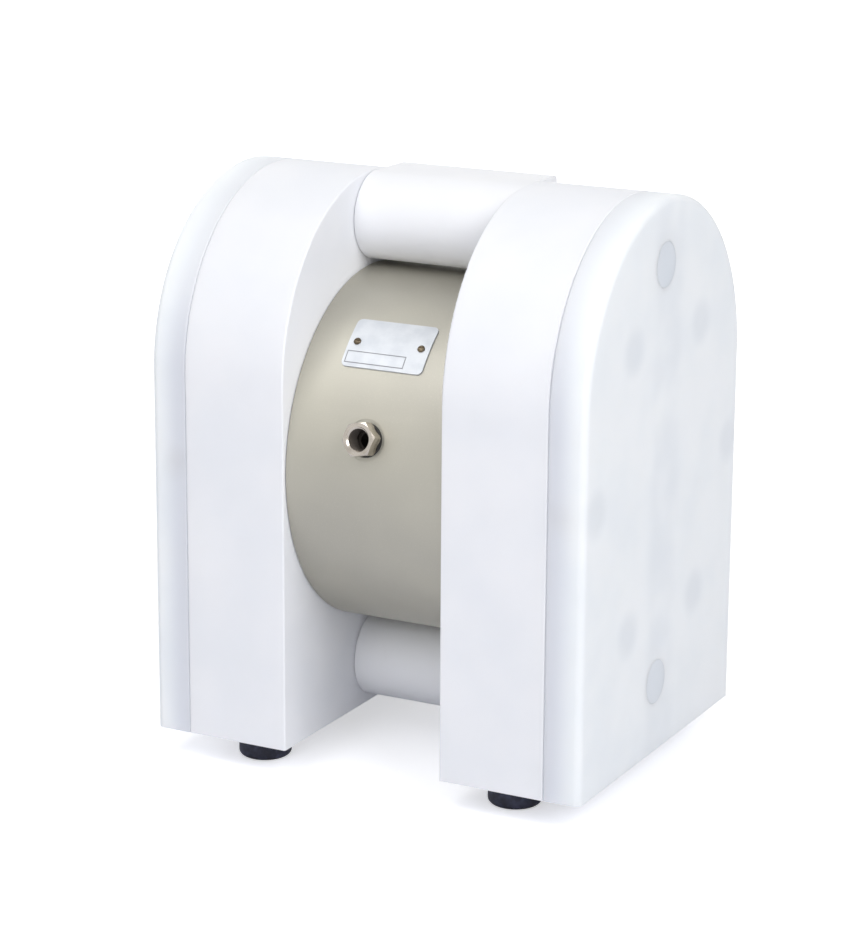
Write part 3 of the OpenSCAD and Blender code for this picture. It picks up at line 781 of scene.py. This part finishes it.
@dataclass
class ThreadedHole:
    """A parallel pipe thread cut into the wall of a hole.

    Attributes:
        mouth: Middle of the hole's mouth, in metres.
        inward: Direction from the mouth into the hole.
        crest: Radius of the thread's crests, in metres.
        pitch: Distance from thread to thread, in metres.
        length: Length of the thread, in metres.
        chamfer: Width of the bevel round the mouth, in metres.
        steps: Steps of each turn.
        depth_share: Depth of the thread, in pitches.
        half_share: Half the width of the tool at its base, in pitches.
        lead_share: How far outside the mouth the tool starts, in pitches.
        overlap: How far the tool's base stands inside the hole's wall, in metres.
    """

    mouth: Vector
    inward: Vector
    crest: float
    pitch: float
    length: float
    chamfer: float
    steps: int = 48
    depth_share: float = 0.64
    half_share: float = 0.44
    lead_share: float = 0.9
    overlap: float = 0.0002

    def cutter(self) -> bpy.types.Object:
        """Makes the helical tool that cuts the thread.

        Returns:
            The tool, closed at both ends.
        """
        half = self.half_share * self.pitch
        base = self.crest - self.overlap
        tip = self.crest + self.depth_share * self.pitch
        Bench.clear()
        bpy.ops.mesh.primitive_circle_add(vertices=3, radius=half, fill_type="NOTHING")
        tool = bpy.context.object
        corners = [(base, -half), (base, half), (tip, 0.0)]
        for vertex, (radius, height) in zip(tool.data.vertices, corners):
            vertex.co = (radius, 0.0, height)
        screw = tool.modifiers.new("turns", "SCREW")
        screw.axis = "Z"
        screw.angle = math.tau
        screw.screw_offset = self.pitch
        screw.iterations = math.ceil(self.length / self.pitch) + 1
        screw.steps = screw.render_steps = self.steps
        Bench.apply_modifiers(tool)
        bpy.ops.object.mode_set(mode="EDIT")
        bpy.ops.mesh.select_all(action="DESELECT")
        bpy.ops.mesh.select_non_manifold()
        bpy.ops.mesh.fill_holes(sides=3)
        bpy.ops.mesh.select_all(action="SELECT")
        bpy.ops.mesh.normals_make_consistent(inside=False)
        bpy.ops.object.mode_set(mode="OBJECT")
        self.place(tool, self.pitch * self.lead_share)
        return tool

    def countersink(self) -> bpy.types.Object:
        """Makes the cone that bevels the mouth.

        Returns:
            The cone, its wide end just outside the mouth.
        """
        outside = self.chamfer / 4
        length = self.chamfer + outside
        Bench.clear()
        bpy.ops.mesh.primitive_cone_add(
            vertices=96, radius1=self.crest + length, radius2=self.crest, depth=length,
            location=(0, 0, length / 2))
        tool = bpy.context.object
        Bench.settle(tool)
        self.place(tool, outside)
        return tool

    def place(self, tool: bpy.types.Object, outside: float) -> None:
        """Moves a tool that stands on Z to its place at the mouth, pointing inwards.

        Args:
            tool: The tool.
            outside: How far outside the mouth it starts, in metres.
        """
        turn = self.inward.to_track_quat("Z", "Y").to_matrix().to_4x4()
        start = self.mouth - self.inward * outside
        tool.data.transform(Matrix.Translation(start) @ turn)

    def cut(self, piece: bpy.types.Object) -> None:
        """Cuts the bevel and the thread into a piece and throws the tools away.

        Args:
            piece: The piece with the hole.
        """
        for tool in (self.countersink(), self.cutter()):
            cut = piece.modifiers.new("cut", "BOOLEAN")
            cut.operation = "DIFFERENCE"
            cut.solver = "EXACT"
            cut.object = tool
            Bench.apply_modifiers(piece)
            bpy.data.objects.remove(tool)
        Bench.pick(piece)
        bpy.ops.object.shade_smooth_by_angle(angle=math.radians(SHARP_EDGE))
        flats = piece.modifiers.new("flats", "WEIGHTED_NORMAL")
        flats.keep_sharp = True
        Bench.apply_modifiers(piece)


@dataclass
class FlexingDiaphragm:
    """A diaphragm cut into wedges round the pump axis.

    Attributes:
        side: Side of the pump, left or right.
        wedges: Number of wedges.
        first: Angle of the first wedge's middle from straight up, in half wedges.
        hub: Radius of the diaphragm's hub, in metres; not used.
        rim: Radius where the clamped rim begins, in metres; not used.
    """

    side: str
    wedges: int = 12
    first: float = 0.7
    hub: float = 0.043
    rim: float = 0.076

    def trim(self, angle: float, keep_below: bool) -> None:
        """Cuts the piece in hand at an angle round the pump axis and closes the cut.

        Args:
            angle: Angle of the cut from straight up towards the rear, in radians.
            keep_below: Whether the smaller angles stay, and not the greater ones.
        """
        bpy.ops.object.mode_set(mode="EDIT")
        bpy.ops.mesh.select_all(action="SELECT")
        bpy.ops.mesh.bisect(
            plane_co=(0, 0, PUMP_AXIS_Z), plane_no=(0, math.cos(angle), -math.sin(angle)),
            use_fill=True, clear_inner=not keep_below, clear_outer=keep_below)
        bpy.ops.object.mode_set(mode="OBJECT")

    def build(self, material: bpy.types.Material) -> None:
        """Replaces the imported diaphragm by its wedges.

        Args:
            material: The wedges' material.
        """
        node = f"{self.side}_diaphragm"
        half = math.pi / self.wedges
        for index in range(self.wedges):
            angle = half * (2 * index + self.first)
            piece = Bench.copy_part(node, f"{node}_wedge_{index + 1}")
            self.trim(angle - half, keep_below=False)
            self.trim(angle + half, keep_below=True)
            bpy.ops.object.shade_smooth_by_angle(angle=math.radians(SHARP_EDGE))
            piece.data.materials.clear()
            piece.data.materials.append(material)
            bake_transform(piece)
            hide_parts(node)
        LOG.info("cut %s into %d wedges", node, self.wedges)


@dataclass
class EndBlocks:
    """The two housings with their covers, discs, valves, plugs and seals.

    Attributes:
        valves: Names of each side's two valves.
    """

    valves: tuple[str, str] = ("suction", "discharge")

    def build(self) -> None:
        """Dresses the end blocks and all that stands in them."""
        white = WHITE_PLASTIC.material()
        milky = MILKY_PLASTIC.material()
        valve = VALVE_PLASTIC.material()
        ball = BALL_PLASTIC.material()
        seal = SEAL_RUBBER.material()
        for side in SIDES:
            dress(f"{side}_housing", white)
            dress(f"{side}_cover", milky)
            dress(f"{side}_column_plug", valve)
            for level in self.valves:
                dress(f"{side}_{level}_seat", valve)
                dress(f"{side}_{level}_cage", valve)
                dress(f"{side}_{level}_ball", ball)
        dress("cover_screws", DISC_PLASTIC.material())
        dress("column_plug_seals", seal)
        dress("manifold_seals", seal)


@dataclass
class Manifolds:
    """The two manifold bars, each with a pipe thread in its port.

    Attributes:
        rear: Distance from the bars' axis to their rear face, in metres.
        heights: Height of each bar's axis, by name, in metres.
        crest: Radius of the port's thread crests, in metres.
        pitch: Pitch of the port's thread, in metres.
        depth: Depth of the port's thread, in metres.
        chamfer: Width of the bevel round the port, in metres.
        steps: Steps of each turn of the thread.
    """

    rear: float = 0.034
    heights: dict[str, float] = field(
        default_factory=lambda: {"suction": 0.0435, "discharge": 0.2925})
    crest: float = 0.01515
    pitch: float = 0.002309
    depth: float = 0.0165
    chamfer: float = 0.0012
    steps: int = 72

    def build(self) -> None:
        """Replaces both bars by copies with cut threads."""
        white = TUBE_PLASTIC.material()
        for level, height in self.heights.items():
            piece = Bench.copy_part(f"{level}_manifold", f"{level}_manifold_threaded")
            mouth = Vector((0, self.rear, height))
            ThreadedHole(mouth, Vector((0, -1, 0)), self.crest, self.pitch, self.depth,
                         self.chamfer, self.steps).cut(piece)
            piece.data.materials.clear()
            piece.data.materials.append(white)
            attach(piece, "pump_body")
            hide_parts(f"{level}_manifold")
            LOG.info("cut the port's thread in %s", piece.name)


@dataclass
class AirSide:
    """The painted centre block with its fittings, valve, shaft and bushes.

    Attributes:
        inlet_mouth: Distance from the pump axis to the inlet's mouth, in metres.
        inlet_crest: Radius of the inlet's thread crests, in metres.
        inlet_pitch: Pitch of the inlet's thread, in metres.
        inlet_depth: Depth of the inlet's thread, in metres.
        inlet_chamfer: Width of the bevel round the inlet's mouth, in metres.
    """

    inlet_mouth: float = 0.1072
    inlet_crest: float = 0.00572
    inlet_pitch: float = 0.001337
    inlet_depth: float = 0.0105
    inlet_chamfer: float = 0.0009

    def inlet(self) -> None:
        """Replaces the air inlet by a copy with its thread cut."""
        piece = Bench.copy_part("air_inlet_fitting", "air_inlet_threaded")
        slope = math.radians(INLET_ANGLE)
        outward = Vector((0, -math.cos(slope), math.sin(slope)))
        mouth = Vector((0, 0, PUMP_AXIS_Z)) + outward * self.inlet_mouth
        ThreadedHole(mouth, -outward, self.inlet_crest, self.inlet_pitch, self.inlet_depth,
                     self.inlet_chamfer).cut(piece)
        piece.data.materials.clear()
        piece.data.materials.append(NICKEL.material())
        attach(piece, "pump_body")
        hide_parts("air_inlet_fitting")
        LOG.info("cut the thread in %s", piece.name)

    def build(self) -> None:
        """Dresses the centre block and all that stands in it."""
        self.inlet()
        seal = SEAL_RUBBER.material()
        steel = STEEL.material()
        brass = BRASS.material()
        aluminium = ALUMINIUM.material()
        valve = VALVE_PLASTIC.material()
        membrane = MEMBRANE_RUBBER.material()
        dress("centre_block", CHAMPAGNE_PAINT.material())
        dress("exhaust_silencer", SINTERED.material())
        for node in ("air_inlet_washer", "air_valve_seals", "shaft_seals"):
            dress(node, seal)
        for node in ("diaphragm_shaft", "air_valve_spool", "air_valve_circlips"):
            dress(node, steel)
        for node in ("shaft_bushes", "air_valve_sleeve"):
            dress(node, brass)
        dress("air_valve_caps", aluminium)
        for side in SIDES:
            dress(f"{side}_air_plate", aluminium)
            dress(f"{side}_liquid_plate", valve)
            FlexingDiaphragm(side).build(membrane)


@dataclass
class Fastenings:
    """Tie rods, rating plate and feet."""

    def build(self) -> None:
        """Dresses the fastenings, the plate and the feet."""
        steel = STEEL.material()
        for node in ("tie_rods", "tie_rod_washers", "tie_rod_nuts"):
            dress(node, steel)
        dress("foot_inserts", BRASS.material())
        dress("rubber_feet", FOOT_RUBBER.material())
        dress("rating_plate", BRUSHED_PLATE.material())
        dress("plate_screws", BRONZE.material())


@dataclass(frozen=True)
class Softbox:
    """A large square lamp.

    Attributes:
        name: Name of the lamp.
        place: Where it stands, in metres.
        size: Length of its sides, in metres.
        power: Power in watts.
    """

    name: str
    place: Place
    size: float
    power: float


@dataclass
class Studio:
    """Floor, light and camera.

    Attributes:
        camera_place: Place of the camera, in metres.
        yaw: Turn of the camera to the left of +Y, in degrees.
        pitch: Angle that the camera looks down, in degrees.
        roll: Turn of the camera about its own line of sight, in degrees.
        lens: Focal length for the longer side of the sensor, in millimetres.
        sensor: Longer side of the sensor, in millimetres.
        clip: Nearest and farthest distance that the camera sees, in metres.
        floor_half: Half the side of the floor, in metres.
        floor_drop: How far the floor lies under the feet, in metres.
        floor_colour: Linear colour of the floor where light falls on it.
        floor_glow: Floor's own light near the pump and far from it, as linear colours.
        floor_fade: Distances from the pump between which that light grows, in metres.
        floor_mirrored: Share of the floor's own light that shows in reflections.
        target: Point that the lamps face, in metres.
        sky: Strength of the light from all round.
        lamps: The lamps.
    """

    camera_place: Place = (0.7276, -1.4162, 0.5861)
    yaw: float = -27.682
    pitch: float = 15.038
    roll: float = 0.321
    lens: float = 117.2
    sensor: float = 36.0
    clip: tuple[float, float] = (0.05, 60.0)
    floor_half: float = 6.0
    floor_drop: float = 0.0002
    floor_colour: Colour = (0.82, 0.83, 0.88)
    floor_glow: tuple[Colour, Colour] = ((0.5, 0.5, 0.5), (1.0, 1.0, 1.0))
    floor_fade: tuple[float, float] = (0.25, 1.3)
    floor_mirrored: float = 0.3
    target: Place = (0.0, 0.0, 0.15)
    sky: float = 0.31
    lamps: tuple[Softbox, ...] = (
        Softbox("overhead_softbox", (-0.33, -0.7, 1.45), 0.9, 6.2),
        Softbox("front_softbox", (0.1, -1.6, 1.1), 1.2, 6.2),
        Softbox("side_softbox", (1.7, -0.8, 1.55), 1.2, 27.5),
        Softbox("rear_softbox", (-1.9, 1.4, 0.9), 1.2, 17.0),
    )

    def camera(self) -> None:
        """Makes the camera."""
        data = bpy.data.cameras.new("camera")
        data.lens = self.lens
        data.sensor_width = self.sensor
        data.sensor_fit = "AUTO"
        data.clip_start, data.clip_end = self.clip
        item = bpy.data.objects.new("camera", data)
        bpy.context.scene.collection.objects.link(item)
        yaw, pitch, roll = (math.radians(a) for a in (self.yaw, self.pitch, self.roll))
        ahead = Vector((math.sin(yaw) * math.cos(pitch), math.cos(yaw) * math.cos(pitch),
                        -math.sin(pitch)))
        flat_right = Vector((math.cos(yaw), -math.sin(yaw), 0))
        flat_up = flat_right.cross(ahead)
        right = flat_right * math.cos(roll) + flat_up * math.sin(roll)
        upward = flat_up * math.cos(roll) - flat_right * math.sin(roll)
        turn = Matrix((right, upward, -ahead)).transposed()
        item.matrix_world = Matrix.Translation(self.camera_place) @ turn.to_4x4()
        bpy.context.scene.camera = item

    def light(self) -> None:
        """Makes the lamps."""
        for lamp in self.lamps:
            data = bpy.data.lights.new(lamp.name, "AREA")
            data.shape = "SQUARE"
            data.size = lamp.size
            data.energy = lamp.power
            item = bpy.data.objects.new(lamp.name, data)
            item.location = lamp.place
            aim = Vector(self.target) - Vector(lamp.place)
            item.rotation_euler = aim.to_track_quat("-Z", "Y").to_euler()
            bpy.context.scene.collection.objects.link(item)

    def surroundings(self) -> None:
        """Makes the sky, which is white wherever it is seen and gives a weaker light."""
        world = bpy.data.worlds.new("studio")
        bpy.context.scene.world = world
        world.use_nodes = True
        tree = world.node_tree
        tree.nodes.clear()
        path = tree.nodes.new("ShaderNodeLightPath")
        seen = tree.nodes.new("ShaderNodeMath")
        seen.operation = "MAXIMUM"
        seen_through = tree.nodes.new("ShaderNodeMath")
        seen_through.operation = "MAXIMUM"
        strength = tree.nodes.new("ShaderNodeMapRange")
        strength.inputs["To Min"].default_value = self.sky
        strength.inputs["To Max"].default_value = 1.0
        sky = tree.nodes.new("ShaderNodeBackground")
        sky.inputs["Color"].default_value = (1.0, 1.0, 1.0, 1.0)
        output = tree.nodes.new("ShaderNodeOutputWorld")
        tree.links.new(path.outputs["Is Camera Ray"], seen.inputs[0])
        tree.links.new(path.outputs["Is Glossy Ray"], seen.inputs[1])
        tree.links.new(seen.outputs[0], seen_through.inputs[0])
        tree.links.new(path.outputs["Is Transmission Ray"], seen_through.inputs[1])
        tree.links.new(seen_through.outputs[0], strength.inputs["Value"])
        tree.links.new(strength.outputs[0], sky.inputs["Strength"])
        tree.links.new(sky.outputs[0], output.inputs["Surface"])

    def floor(self) -> None:
        """Makes the pale floor, which keeps the pump's shadow."""
        Bench.clear()
        bpy.ops.mesh.primitive_plane_add(size=2 * self.floor_half,
                                         location=(0, 0, -self.floor_drop))
        item = bpy.context.object
        item.name = "floor"
        recipe = Recipe("floor_paper")
        path = recipe.node("ShaderNodeLightPath", {}, {})
        camera = Value(recipe, path.outputs["Is Camera Ray"])
        glossy = Value(recipe, path.outputs["Is Glossy Ray"])
        x, y, _ = recipe.axes()
        away = x.hypot(y).rise(*self.floor_fade)
        item.data.materials.append(recipe.finish({
            "Base Color": self.floor_colour, "Roughness": 0.9, "Specular IOR Level": 0.0,
            "Emission Color": recipe.blend(away, *self.floor_glow),
            "Emission Strength": camera.math("MAXIMUM", glossy * self.floor_mirrored)}))
        Bench.settle(item)

    def build(self) -> None:
        """Makes the studio and sets the plain colour transform."""
        self.camera()
        self.light()
        self.surroundings()
        self.floor()
        bpy.context.scene.view_settings.view_transform = "Standard"
        LOG.info("set up the studio")


def main() -> None:
    """Builds each sub-assembly in order, then the studio."""
    logging.basicConfig(level=logging.INFO, format="%(name)s: %(message)s")
    for assembly in (EndBlocks(), Manifolds(), AirSide(), Fastenings(), Studio()):
        assembly.build()


if __name__ == "__main__":
    main()
